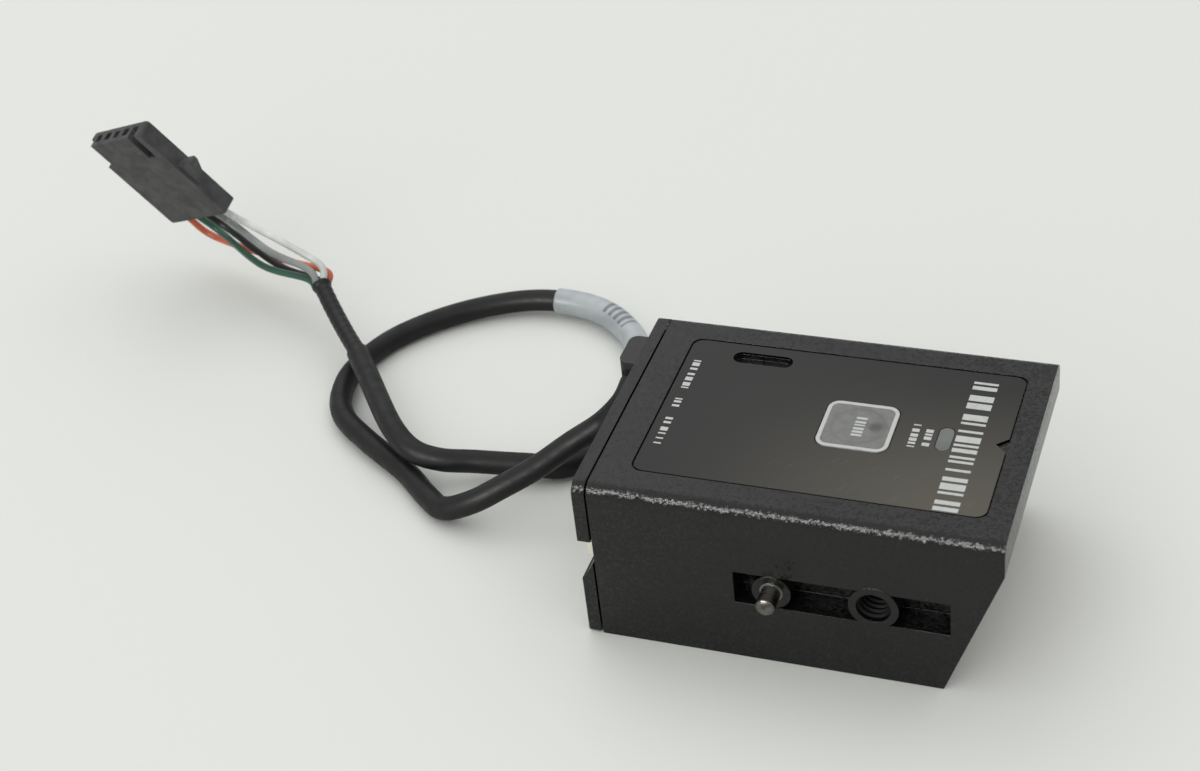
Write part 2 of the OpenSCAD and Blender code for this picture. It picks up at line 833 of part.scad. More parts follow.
module collimating_lens() {
    crown_r = 3;
    face_y = barrel_y1 - barrel_lip - fine;
    color([0.8, 0.9, 1, 0.5])
    intersection() {
        rod_y(beam_x, beam_z, 2.08, barrel_y1 - 2.3, face_y);
        translate([beam_x, face_y - crown_r, beam_z]) sphere(r = crown_r);
    }
}

module scan_mirror() {
    color([0.85, 0.87, 0.9])
    on_rotor() translate([mirror_ahead - mirror_t, -mirror_w / 2, beam_z - mirror_h / 2])
        cube([mirror_t, mirror_w, mirror_h]);
}

module mirror_carrier() {
    plate_u = mirror_ahead - mirror_t - fine;
    color([0.2, 0.2, 0.22])
    on_rotor() difference() {
        union() {
            translate([0, 0, plate_top + 1.6]) cylinder(r = 1.2, h = 7.2);
            translate([plate_u - 0.7, -3.2, beam_z - 2.3]) cube([0.7, 6.4, 4.6]);
            translate([-2.4, -0.9, beam_z - 1.3]) cube([2.6, 1.8, 2.6]);
        }
        translate([0, 0, plate_top]) cylinder(r = pivot_r + 0.04, h = 12);
    }
}

module pivot_pin() {
    color([0.78, 0.79, 0.8])
    translate([pivot_x, pivot_y, plate_z + 0.1]) cylinder(r = pivot_r, h = 10.9);
}

module pivot_clip() {
    color([0.7, 0.71, 0.72])
    translate([pivot_x, pivot_y, plate_top + 8.9]) difference() {
        cylinder(r = 1.1, h = 0.3);
        translate([0, 0, -1]) cylinder(r = pivot_r + 0.01, h = 3);
    }
}

module rotor_magnet() {
    color([0.55, 0.56, 0.58])
    on_rotor() translate([-4.4, -1.6, beam_z - 1.6]) cube([1.98, 3.2, 3.2]);
}

module coil_bobbin() {
    color([0.9, 0.9, 0.85])
    on_rotor() difference() {
        union() {
            rod_x(0, beam_z, 1.5, -8.43, -5.1);
            rod_x(0, beam_z, 3, -8.43, -7.93);
            rod_x(0, beam_z, 3, -5.6, -5.1);
        }
        rod_x(0, beam_z, 1.03, -9, -4);
    }
}

module drive_coil() {
    color([0.72, 0.4, 0.2])
    on_rotor() difference() {
        rod_x(0, beam_z, 2.8, -7.9, -5.63);
        rod_x(0, beam_z, 1.53, -9, -4);
    }
}

module coil_core() {
    color([0.5, 0.5, 0.52])
    on_rotor() rod_x(0, beam_z, 1, -9.6, -5.05);
}

module receiver_lens() {
    crown_r = 4;
    face_x = eye_board_x + 7.9;
    color([0.8, 0.9, 1, 0.5])
    intersection() {
        rod_x(eye_y, beam_z, eye_r, eye_board_x + 5.6, face_x);
        translate([face_x - crown_r, eye_y, beam_z]) sphere(r = crown_r);
    }
}

module optical_filter() {
    color([0.4, 0.05, 0.08])
    translate([eye_board_x + 2.12, eye_y - 2.55, beam_z - 2.55]) cube([0.8, 5.1, 5.1]);
}

module photodiode() {
    color([0.15, 0.13, 0.2])
    translate([eye_board_x + board_t + fine, eye_y, beam_z]) {
        translate([0, -2.2, -2.2]) cube([1, 4.4, 4.4]);
        translate([0, -1.4, -1.4]) cube([1.15, 2.8, 2.8]);
    }
}

module receiver_board() {
    color([0.05, 0.3, 0.15])
    translate([eye_board_x, eye_y - 3.7, 3.6]) cube([board_t, 7.4, 9.6]);
}

// ---- cable, wires and plug ----

module locating_pin() {
    color([0.72, 0.72, 0.7]) {
        rod_y(pin_x, boss_z, pin_shank_r, -half_w - boss_proud, -half_w + pin_inside);
        rod_y(pin_x, boss_z, pin_d / 2, -half_w - pin_out + pin_chamfer, -half_w);
        translate([pin_x, -half_w - pin_out + pin_chamfer, boss_z]) rotate([90, 0, 0])
            cylinder(r1 = pin_d / 2, r2 = pin_d / 2 - pin_chamfer, h = pin_chamfer);
    }
}

module cable_jacket() {
    color([0.16, 0.16, 0.16]) swept_rod(cable_path, [for (q = cable_path) cable_d / 2], sides);
}

module cable_marker() {
    color([0.8, 0.83, 0.88]) marker_tube();
}

// the marker follows the jacket's own rings, so that its bore clears the jacket
module marker_tube() {
    n = sides;
    rows = marker_to - marker_from + 1;
    function row(i, r) = ring(cable_path[i], heading(cable_path, i), r, n);
    inner_r = cable_d / 2 + marker_gap;
    outer = [for (i = [marker_from:marker_to]) each row(i, inner_r + marker_t)];
    inner = [for (i = [marker_from:marker_to]) each row(i, inner_r)];
    polyhedron(concat(outer, inner), tube_faces(rows, n));
}

module shrink_sleeve() {
    color([0.12, 0.12, 0.12]) swept_rod(sleeve_path, sleeve_radii, sides);
}

module wire_white() { color([0.9, 0.9, 0.88]) plug_wire(0); }
module wire_green() { color([0.15, 0.4, 0.3]) plug_wire(3); }
module wire_black() { color([0.12, 0.12, 0.12]) plug_wire(2); }
module wire_grey() { color([0.55, 0.56, 0.56]) plug_wire(1); }
module wire_red() { color([0.8, 0.25, 0.12]) plug_wire(4); }

// hooked wedge on the plug's edge: steep towards the mating end, sloping towards the wires
module plug_latch() {
    edge = -plug_w / 2;
    translate([0, 0, -latch_t / 2]) linear_extrude(latch_t)
        polygon([
            [latch_x0, edge + 0.4],
            [latch_x0, edge],
            [latch_x1 - latch_top, edge - latch_h],
            [latch_x1, edge - latch_h],
            [latch_x1, edge + 0.4]
        ]);
}

module plug_housing() {
    color([0.16, 0.16, 0.17])
    on_plug() difference() {
        union() {
            translate([plug_len / 2, 0, -plug_t / 2]) round_block(plug_len, plug_w, plug_t, 0.5);
            plug_latch();
        }
        for (i = [0:4])
            translate([-1, wire_offset(i) - cavity_w / 2, -cavity_w / 2])
                cube([plug_len + 2, cavity_w, cavity_w]);
        for (y = [wire_offset(0) - keyway_w / 2, plug_w / 2 - keyway_w + 0.3])
            translate([plug_len - keyway_l, y, plug_t / 2 - keyway_depth])
                cube([keyway_l + 1, keyway_w, keyway_depth + 1]);
    }
}

module plug_contacts() {
    contact_l = plug_len - keyway_l - 1.5;
    color([0.8, 0.75, 0.6])
    on_plug() for (i = [0:4]) translate([1, wire_offset(i), 0]) difference() {
        translate([0, -0.5, -0.5]) cube([contact_l, 1, 1]);
        translate([contact_l - 6, -0.3, -0.3]) cube([8, 0.6, 0.6]);
    }
}

housing();
rear_cover();
cover_screws();
front_window();
window_gasket();
top_label();
scan_button();
indicator_lens();
status_lamp();
switch_body();
switch_plunger();
main_board();
processor_chip();
memory_chip();
buzzer();
board_header();
inner_plug();
inner_wires();
optical_chassis();
chassis_screws();
board_screws();
laser_barrel();
laser_diode();
collimating_lens();
scan_mirror();
mirror_carrier();
pivot_pin();
pivot_clip();
rotor_magnet();
coil_bobbin();
drive_coil();
coil_core();
receiver_lens();
optical_filter();
photodiode();
receiver_board();
flex_strip();
ground_clip();
locating_pin();
strain_relief();
cable_jacket();
cable_marker();
shrink_sleeve();
wire_white();
wire_green();
wire_black();
wire_grey();
wire_red();
plug_housing();
plug_contacts();
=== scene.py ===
"""Looks for the compact laser scanner module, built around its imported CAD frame.

Metres, +X towards the scan window, +Z up. The CAD nodes keep their shapes, apart from small bevels on some.
Cables, prints and the thread are built here, from places that the frame gives.
"""
import json
import math
import random

import bmesh
import bpy
from mathutils import Matrix, Vector


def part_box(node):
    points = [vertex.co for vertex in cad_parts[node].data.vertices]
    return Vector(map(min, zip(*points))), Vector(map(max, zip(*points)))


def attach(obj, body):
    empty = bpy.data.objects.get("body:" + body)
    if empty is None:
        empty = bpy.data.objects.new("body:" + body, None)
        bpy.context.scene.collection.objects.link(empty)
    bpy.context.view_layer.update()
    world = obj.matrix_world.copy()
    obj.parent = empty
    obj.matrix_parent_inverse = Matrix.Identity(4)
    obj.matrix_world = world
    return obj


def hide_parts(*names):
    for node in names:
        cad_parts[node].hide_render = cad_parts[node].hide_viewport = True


MM = 0.001
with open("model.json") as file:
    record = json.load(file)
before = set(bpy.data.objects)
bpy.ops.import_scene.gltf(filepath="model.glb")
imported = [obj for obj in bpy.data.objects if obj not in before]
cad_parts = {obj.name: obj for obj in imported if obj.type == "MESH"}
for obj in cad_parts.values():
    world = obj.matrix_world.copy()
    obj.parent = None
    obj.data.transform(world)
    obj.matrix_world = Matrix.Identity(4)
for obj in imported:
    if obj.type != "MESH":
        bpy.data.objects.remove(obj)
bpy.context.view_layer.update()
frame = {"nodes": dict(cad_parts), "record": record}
scene = bpy.context.scene


# ---- node materials ----

class Surface:
    """One procedural material and short ways to add nodes to it. Textures are placed in object metres."""

    def __init__(self, name, color, roughness=0.5, metallic=0.0, **inputs):
        self.material = bpy.data.materials.new(name)
        self.material.use_nodes = True
        self.tree = self.material.node_tree
        self.tree.nodes.clear()
        self.shader = self.node("ShaderNodeBsdfPrincipled")
        output = self.node("ShaderNodeOutputMaterial")
        self.link(self.shader.outputs[0], output.inputs[0])
        self.place = self.node("ShaderNodeTexCoord").outputs["Object"]
        self.set("Base Color", color)
        self.set("Roughness", roughness)
        self.set("Metallic", metallic)
        for key, value in inputs.items():
            self.set(key.replace("_", " "), value)

    def node(self, kind, **settings):
        made = self.tree.nodes.new(kind)
        for key, value in settings.items():
            setattr(made, key, value)
        return made

    def link(self, source, target):
        self.tree.links.new(source, target)

    def feed(self, socket, value):
        """Links a socket's value, or sets a plain one."""
        if isinstance(value, bpy.types.NodeSocket):
            self.link(value, socket)
        elif isinstance(value, (tuple, list)) and len(value) == 3 and socket.type == "RGBA":
            socket.default_value = (*value, 1.0)
        else:
            socket.default_value = value

    def set(self, name, value):
        self.feed(self.shader.inputs[name], value)

    def noise(self, size, detail=2.0, rough=0.5, place=None, stretch=None):
        """Noise from 0 to 1 whose blobs are about size metres wide."""
        made = self.node("ShaderNodeTexNoise")
        source = place or self.place
        if stretch:
            mapping = self.node("ShaderNodeMapping")
            mapping.inputs["Scale"].default_value = stretch
            self.link(source, mapping.inputs["Vector"])
            source = mapping.outputs[0]
        self.link(source, made.inputs["Vector"])
        made.inputs["Scale"].default_value = 1.0 / size
        made.inputs["Detail"].default_value = detail
        made.inputs["Roughness"].default_value = rough
        return made.outputs["Fac"]

    def cells(self, size):
        """Distance to the nearest of scattered points about size metres apart."""
        made = self.node("ShaderNodeTexVoronoi")
        self.link(self.place, made.inputs["Vector"])
        made.inputs["Scale"].default_value = 1.0 / size
        return made.outputs["Distance"]

    def math(self, operation, a, b=0.0):
        made = self.node("ShaderNodeMath", operation=operation)
        self.feed(made.inputs[0], a)
        self.feed(made.inputs[1], b)
        return made.outputs[0]

    def fade(self, value, start, stop, low=0.0, high=1.0):
        """Runs smoothly from low at start to high at stop."""
        made = self.node("ShaderNodeMapRange", interpolation_type="SMOOTHSTEP")
        self.feed(made.inputs["Value"], value)
        made.inputs["From Min"].default_value = start
        made.inputs["From Max"].default_value = stop
        made.inputs["To Min"].default_value = low
        made.inputs["To Max"].default_value = high
        return made.outputs["Result"]

    def mix(self, share, a, b):
        """Colour a where share is 0 and b where it is 1."""
        made = self.node("ShaderNodeMix", data_type="RGBA")
        colours = [s for s in made.inputs if s.type == "RGBA"]
        self.feed(made.inputs["Factor"], share)
        self.feed(colours[0], a)
        self.feed(colours[1], b)
        return next(s for s in made.outputs if s.type == "RGBA")

    def axis(self, name, vector=None):
        """One of X, Y and Z of a place or a direction."""
        made = self.node("ShaderNodeSeparateXYZ")
        self.link(vector or self.place, made.inputs[0])
        return made.outputs[name]

    def attribute(self, name):
        return self.node("ShaderNodeAttribute", attribute_name=name).outputs["Fac"]

    def edges(self, radius):
        """1 on sharp outer and inner edges, 0 on flat faces."""
        flat_dot = 0.995
        sharp_dot = 0.9
        bevel = self.node("ShaderNodeBevel", samples=6)
        bevel.inputs["Radius"].default_value = radius
        plain = self.node("ShaderNodeNewGeometry").outputs["Normal"]
        dot = self.node("ShaderNodeVectorMath", operation="DOT_PRODUCT")
        self.link(bevel.outputs[0], dot.inputs[0])
        self.link(plain, dot.inputs[1])
        return self.fade(dot.outputs["Value"], flat_dot, sharp_dot)

    def flakes(self, size, tilt):
        """Normal that is tilted at random in each of many small cells, by up to tilt along each axis."""
        made = self.node("ShaderNodeTexVoronoi")
        self.link(self.place, made.inputs["Vector"])
        made.inputs["Scale"].default_value = 1.0 / size
        centred = self.node("ShaderNodeVectorMath", operation="SUBTRACT")
        self.link(made.outputs["Color"], centred.inputs[0])
        centred.inputs[1].default_value = (0.5, 0.5, 0.5)
        scaled = self.node("ShaderNodeVectorMath", operation="SCALE")
        self.link(centred.outputs[0], scaled.inputs[0])
        scaled.inputs["Scale"].default_value = 2 * tilt
        added = self.node("ShaderNodeVectorMath", operation="ADD")
        self.link(scaled.outputs[0], added.inputs[0])
        self.link(self.node("ShaderNodeNewGeometry").outputs["Normal"], added.inputs[1])
        unit = self.node("ShaderNodeVectorMath", operation="NORMALIZE")
        self.link(added.outputs[0], unit.inputs[0])
        return unit.outputs[0]

    def bump(self, *layers, normal=None):
        """Bump from (height, depth in metres) layers, on top of a normal if one is given."""
        for height, depth in layers:
            made = self.node("ShaderNodeBump")
            made.inputs["Strength"].default_value = 1.0
            made.inputs["Distance"].default_value = depth
            self.link(height, made.inputs["Height"])
            if normal:
                self.link(normal, made.inputs["Normal"])
            normal = made.outputs[0]
        self.set("Normal", normal)


def grainy(name, color, roughness, grain=0.15 * MM, depth=0.004 * MM, vary=0.15, metallic=0.0, **inputs):
    """A moulded, cast or turned surface: fine grain, slow colour drift and uneven roughness."""
    uneven = 0.12
    made = Surface(name, color, roughness, metallic, **inputs)
    drift = made.noise(3 * MM, 3)
    darker = [c * (1 - vary) for c in color]
    lighter = [min(1.0, c * (1 + vary)) for c in color]
    made.set("Base Color", made.mix(made.fade(drift, 0.3, 0.7), darker, lighter))
    patches = made.noise(0.8 * MM, 4)
    made.set("Roughness", made.fade(patches, 0.2, 0.8, roughness * (1 - uneven), roughness * (1 + uneven)))
    made.bump((made.noise(grain, 3, 0.6), depth))
    return made.material


def case_paint():
    """Fine-textured black paint, with metal showing along worn edges and a few dust specks."""
    bare_metal = (0.3, 0.29, 0.27)
    dust_tone = (0.3, 0.3, 0.28)
    flake_size = 0.24 * MM
    flake_tilt = 0.14
    made = Surface("case_paint", (0.008, 0.0085, 0.008))
    drift = made.fade(made.noise(6 * MM, 4), 0.3, 0.7)
    base = made.mix(drift, (0.003, 0.0034, 0.003), (0.005, 0.0055, 0.0048))
    grain = made.noise(0.16 * MM, 4, 0.7)
    base = made.mix(made.fade(grain, 0.5, 0.85), base, (0.015, 0.0155, 0.014))
    worn = made.math("MULTIPLY", made.edges(0.11 * MM), made.fade(made.noise(0.7 * MM, 5, 0.7), 0.52, 0.7))
    base = made.mix(made.math("MULTIPLY", worn, 0.14), base, bare_metal)
    specks = made.fade(made.cells(1.1 * MM), 0.04, 0.02)
    dust = made.math("MULTIPLY", specks, made.fade(made.noise(5 * MM), 0.56, 0.64))
    base = made.mix(made.math("MULTIPLY", dust, 0.35), base, dust_tone)
    made.set("Base Color", base)
    made.set("Roughness", made.fade(made.noise(2.4 * MM, 4), 0.25, 0.75, 0.17, 0.23))
    made.set("Specular IOR Level", 0.31)
    made.bump((grain, 0.02 * MM), normal=made.flakes(flake_size, flake_tilt))
    return made.material


def label_film():
    """Satin overlay film: faint smudges, a painted warm sheen towards the near front corner, painted shade on
    its sloped edges and hairline scratches by the button.
    """
    scratch_turn = math.radians(36)
    top_specular = 0.28
    low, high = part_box("top_label")
    button_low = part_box("scan_button")[0]
    made = Surface("label_film", (0.03, 0.03, 0.028))
    smudge = made.noise(4.5 * MM, 5, 0.6)
    base = made.mix(made.fade(smudge, 0.35, 0.7), (0.005, 0.005, 0.0047), (0.011, 0.0107, 0.0095))
    # Painted warm sheen: lighter and warmer towards the near front corner.
    across = made.fade(made.axis("Y"), high.y, low.y)
    along = made.fade(made.axis("X"), low.x, high.x)
    painted_sheen = made.math("MULTIPLY", across, along)
    base = made.mix(made.math("MULTIPLY", painted_sheen, 0.75), base, (0.1, 0.09, 0.069))
    turned = made.node("ShaderNodeVectorRotate", rotation_type="Z_AXIS")
    turned.inputs["Angle"].default_value = scratch_turn
    made.link(made.place, turned.inputs["Vector"])
    hair = made.noise(0.3 * MM, 2.0, 0.5, turned.outputs[0], (1.0, 0.12, 1.0))
    near_button = made.math(
        "MULTIPLY",
        made.fade(made.axis("Y"), button_low.y, button_low.y - 2 * MM),
        made.fade(made.axis("X"), button_low.x - 6 * MM, button_low.x + 2 * MM),
    )
    hair = made.math("MULTIPLY", made.fade(hair, 0.62, 0.8), near_button)
    base = made.mix(made.math("MULTIPLY", hair, 0.4), base, (0.17, 0.16, 0.14))
    fleck = made.math("MULTIPLY", made.edges(0.1 * MM), made.fade(made.noise(0.45 * MM, 2), 0.66, 0.7))
    base = made.mix(fleck, base, (0.75, 0.74, 0.7))
    # Painted shade: the sloped edges go near black and lose their gloss, standing in for the shaded groove
    # round the label.
    tilt = made.axis("Z", made.node("ShaderNodeNewGeometry").outputs["Normal"])
    painted_edge_shade = made.fade(tilt, 0.97, 0.8)
    made.set("Base Color", made.mix(painted_edge_shade, base, (0.001, 0.001, 0.001)))
    rough = made.fade(smudge, 0.3, 0.75, 0.3, 0.42)
    made.set("Roughness", made.math("ADD", rough, made.math("MULTIPLY", hair, 0.15)))
    lost = made.math("MULTIPLY", painted_edge_shade, top_specular)
    made.set("Specular IOR Level", made.math("SUBTRACT", top_specular, lost))
    made.bump((made.noise(0.5 * MM, 2), 0.006 * MM), (made.noise(0.14 * MM, 2), 0.004 * MM))
    return made.material


def print_ink():
    """White screen-printing ink, a little uneven and thin at places."""
    made = Surface("print_ink", (0.7, 0.71, 0.69), 0.5)
    thin = made.fade(made.noise(0.5 * MM, 3, 0.6), 0.25, 0.5)
    made.set("Base Color", made.mix(thin, (0.4, 0.41, 0.395), (0.49, 0.5, 0.485)))
    made.bump((made.noise(0.2 * MM, 2), 0.002 * MM))
    return made.material


def button_face():
    """Grey translucent film over a push dome: a faint ring of painted shade along the dome's edge and a worn,
    dirty patch.
    """
    dome_r = 2.75 * MM
    patch_place = (1.7 * MM, 0.2 * MM, 0)
    low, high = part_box("scan_button")
    middle = (low + high) / 2
    made = Surface("button_face", (0.2, 0.2, 0.195), 0.36)
    offset = made.node("ShaderNodeVectorMath", operation="SUBTRACT")
    made.link(made.place, offset.inputs[0])
    offset.inputs[1].default_value = (middle.x, middle.y, high.z)
    reach = made.node("ShaderNodeVectorMath", operation="LENGTH")
    made.link(offset.outputs[0], reach.inputs[0])
    radius = reach.outputs["Value"]
    cloud = made.noise(1.1 * MM, 5, 0.65)
    base = made.mix(made.fade(cloud, 0.3, 0.7), (0.125, 0.125, 0.121), (0.178, 0.178, 0.172))
    # Painted shade: a darker ring along the crease at the dome's edge.
    ring = made.math("ABSOLUTE", made.math("SUBTRACT", radius, dome_r))
    base = made.mix(made.fade(ring, 0.35 * MM, 0.0, 0.0, 0.35), base, (0.09, 0.09, 0.088))
    smudge = made.node("ShaderNodeVectorMath", operation="DISTANCE")
    made.link(offset.outputs[0], smudge.inputs[0])
    smudge.inputs[1].default_value = patch_place
    dirt = made.math("ADD", smudge.outputs["Value"], made.math("MULTIPLY", cloud, 1.4 * MM))
    base = made.mix(made.fade(dirt, 1.9 * MM, 0.9 * MM, 0.0, 0.8), base, (0.035, 0.034, 0.033))
    made.set("Base Color", base)
    made.set("Subsurface Weight", 0.15)
    made.set("Subsurface Radius", (0.6 * MM, 0.6 * MM, 0.6 * MM))
    made.set("Roughness", made.fade(cloud, 0.3, 0.8, 0.3, 0.48))
    made.bump((made.fade(radius, dome_r + 0.4 * MM, dome_r - 0.4 * MM), 0.05 * MM), (cloud, 0.02 * MM))
    return made.material


def turned_steel():
    """Steel with fine lathe lines round its Y axis and on its end face, darker towards its root with stains
    and painted shade.
    """
    lathe_pitch = 0.13 * MM
    low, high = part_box("locating_pin")
    made = Surface("turned_steel", (0.42, 0.41, 0.385), 0.3, 1.0)
    offset = made.node("ShaderNodeVectorMath", operation="SUBTRACT")
    made.link(made.place, offset.inputs[0])
    offset.inputs[1].default_value = ((low.x + high.x) / 2, 0, (low.z + high.z) / 2)
    flat = made.node("ShaderNodeVectorMath", operation="MULTIPLY")
    made.link(offset.outputs[0], flat.inputs[0])
    flat.inputs[1].default_value = (1, 0, 1)
    reach = made.node("ShaderNodeVectorMath", operation="LENGTH")
    made.link(flat.outputs[0], reach.inputs[0])
    rings = made.math("SINE", made.math("MULTIPLY", reach.outputs["Value"], 2 * math.pi / lathe_pitch))
    lines = made.noise(0.05 * MM, 2, 0.5, None, (0.05, 1.0, 0.05))
    # Towards its root, where it enters the boss, the pin is darker: stains together with painted shade.
    stain = made.fade(made.noise(0.6 * MM, 4), 0.4, 0.7)
    root_stain_and_shade = made.mix(stain, (0.15, 0.143, 0.13), (0.08, 0.074, 0.064))
    tip = made.fade(made.axis("Y"), low.y + 2.2 * MM, low.y + 1.2 * MM)
    made.set("Base Color", made.mix(tip, (0.16, 0.155, 0.145), root_stain_and_shade))
    made.set("Roughness", made.fade(lines, 0.3, 0.7, 0.22, 0.4))
    made.bump((rings, 0.004 * MM), (lines, 0.004 * MM))
    return made.material


def cable_skin(name, color, roughness=0.46):
    """Extruded soft plastic: slight lumps, a fine grain and dust in the surface."""
    made = Surface(name, color, roughness)
    drift = made.fade(made.noise(5 * MM, 4), 0.3, 0.7)
    lighter = [c * 1.45 for c in color]
    base = made.mix(drift, color, lighter)
    dust = made.math("MULTIPLY", made.fade(made.noise(0.25 * MM, 4, 0.7), 0.6, 0.8), 0.35)
    made.set("Base Color", made.mix(dust, base, [min(1.0, c * 1.6 + 0.015) for c in color]))
    made.set("Specular IOR Level", 0.25)
    made.set("Roughness", made.fade(made.noise(1.5 * MM, 4), 0.3, 0.7, roughness * 0.85, roughness * 1.15))
    made.bump((made.noise(1.2 * MM, 3), 0.03 * MM), (made.noise(0.12 * MM, 2), 0.006 * MM))
    return made.material


def marker_film():
    """Pale marker sleeve with a short row of dark bars half way along its upper side."""
    bar_pitch = 1.1 * MM
    made = Surface("marker_film", (0.5, 0.54, 0.6), 0.38)
    base = made.mix(made.fade(made.noise(2 * MM, 4), 0.3, 0.7), (0.35, 0.375, 0.395), (0.44, 0.465, 0.48))
    along = made.attribute("along")
    up = made.attribute("side_up")
    away = made.math("ABSOLUTE", along)
    bars = made.fade(made.math("SINE", made.math("MULTIPLY", along, 2 * math.pi / bar_pitch)), -0.2, 0.1)
    here = made.math("MULTIPLY", made.fade(away, 2.6 * MM, 2.4 * MM), made.fade(up, 0.72, 0.78))
    mark = made.math("MULTIPLY", here, made.math("MULTIPLY", bars, 0.7))
    made.set("Base Color", made.mix(mark, base, (0.07, 0.075, 0.085)))
    made.set("Subsurface Weight", 0.1)
    made.set("Subsurface Radius", (0.4 * MM, 0.4 * MM, 0.4 * MM))
    made.bump((made.noise(0.9 * MM, 3), 0.03 * MM))
    return made.material


def plug_plastic():
    """Black glass-filled nylon: a light matt bloom over a fine grain, and pale worn corners."""
    made = Surface("plug_plastic", (0.05, 0.05, 0.051), 0.55)
    bloom = made.fade(made.noise(2.5 * MM, 5, 0.6), 0.3, 0.72)
    base = made.mix(bloom, (0.046, 0.046, 0.047), (0.078, 0.078, 0.078))
    worn = made.math("MULTIPLY", made.edges(0.15 * MM), made.fade(made.noise(0.6 * MM, 4), 0.5, 0.7))
    made.set("Base Color", made.mix(made.math("MULTIPLY", worn, 0.4), base, (0.17, 0.17, 0.168)))
    made.set("Roughness", made.fade(made.noise(1.0 * MM, 4), 0.3, 0.7, 0.5, 0.66))
    made.set("Specular IOR Level", 0.22)
    made.bump((made.noise(0.22 * MM, 4, 0.7), 0.02 * MM))
    return made.material


def tinted_glass():
    """Dark red pane that passes only the laser's colour, with a trace of dust."""
    red = (0.3, 0.012, 0.014)
    dusty_red = (0.45, 0.2, 0.18)
    made = Surface("tinted_glass", red, 0.04, Transmission_Weight=0.85, IOR=1.5)
    dust = made.fade(made.noise(0.4 * MM, 5, 0.7), 0.6, 0.8)
    made.set("Roughness", made.math("ADD", made.math("MULTIPLY", dust, 0.2), 0.03))
    made.set("Base Color", made.mix(made.math("MULTIPLY", dust, 0.3), red, dusty_red))
    return made.material


def lens_glass():
    """Clear polished glass with the faintest waviness."""
    made = Surface("lens_glass", (0.92, 0.96, 0.98), 0.02, Transmission_Weight=1.0, IOR=1.52)
    made.bump((made.noise(2 * MM, 2), 0.001 * MM))
    return made.material


def circuit_board():
    """Green solder mask over raised copper tracks that run square to the board's edges."""
    track_spacing = 2 * MM
    made = Surface("circuit_board", (0.01, 0.09, 0.035), 0.3)
    brick = made.node("ShaderNodeTexBrick")
    made.link(made.place, brick.inputs["Vector"])
    brick.inputs["Scale"].default_value = 1.0 / track_spacing
    brick.inputs["Mortar Size"].default_value = 0.045
    tracks = brick.outputs["Fac"]
    made.set("Base Color", made.mix(tracks, (0.008, 0.075, 0.03), (0.03, 0.16, 0.05)))
    made.bump((tracks, 0.02 * MM), (made.noise(0.3 * MM, 3), 0.003 * MM))
    return made.material


def wound_copper():
    """Enamelled copper wire, as close bands that cross the coil at a slant."""
    made = Surface("wound_copper", (0.62, 0.24, 0.08), 0.3, 1.0)
    wave = made.node("ShaderNodeTexWave", bands_direction="DIAGONAL")
    made.link(made.place, wave.inputs["Vector"])
    wave.inputs["Scale"].default_value = 1.0 / (0.8 * MM)
    made.set("Base Color", made.mix(wave.outputs["Fac"], (0.3, 0.1, 0.03), (0.7, 0.3, 0.11)))
    made.bump((wave.outputs["Fac"], 0.05 * MM))
    return made.material


# ---- swept pieces: the middle line comes from the CAD node's own rings ----

def ring_size(ring):
    """Middle and radius of a ring of corners, taken in index order so that every run rounds alike."""
    places = [v.co for v in sorted(ring, key=lambda v: v.index)]
    middle = sum(places, Vector()) / len(places)
    return middle, sum((place - middle).length for place in places) / len(places)


def end_ring(mesh):
    """Corners of one flat round end: a flat group of faces whose corners are all as far from its middle."""
    checked = set()
    for face in mesh.faces:
        if face in checked:
            continue
        group, waiting = {face}, [face]
        while waiting:
            for edge in waiting.pop().edges:
                for other in edge.link_faces:
                    if other not in group and other.normal.angle(face.normal) < 0.005:
                        group.add(other)
                        waiting.append(other)
        checked |= group
        ring = {v for f in group for v in f.verts}
        middle = ring_size(ring)[0]
        reach = [(v.co - middle).length for v in ring]
        if len(ring) > 5 and max(reach) - min(reach) < 0.02 * max(reach):
            return ring
    raise RuntimeError("the node has no flat round end")


def centreline(node):
    """(middle, radius) of each ring of a swept CAD node, from one end to the other."""
    mesh = bmesh.new()
    mesh.from_mesh(frame["nodes"][node].data)
    bmesh.ops.remove_doubles(mesh, verts=mesh.verts, dist=0.002 * MM)
    mesh.normal_update()
    mesh.verts.index_update()
    ring = end_ring(mesh)
    used, line = set(), []
    while ring:
        line.append(ring_size(ring))
        used |= ring
        ring = {e.other_vert(v) for v in ring for e in v.link_edges} - used
    mesh.free()
    return line


def refine(line, times):
    """Catmull-Rom points through a line, with the radii carried along."""
    made = []
    last = len(line) - 1
    for i in range(last):
        a, b, c, d = (line[min(max(i + k, 0), last)][0] for k in (-1, 0, 1, 2))
        for k in range(times):
            t = k / times
            point = 0.5 * (2 * b + (c - a) * t + (2 * a - 5 * b + 4 * c - d) * t * t
                           + (3 * b - a - 3 * c + d) * t ** 3)
            made.append((point, line[i][1] + (line[i + 1][1] - line[i][1]) * t))
    made.append(line[-1])
    return made


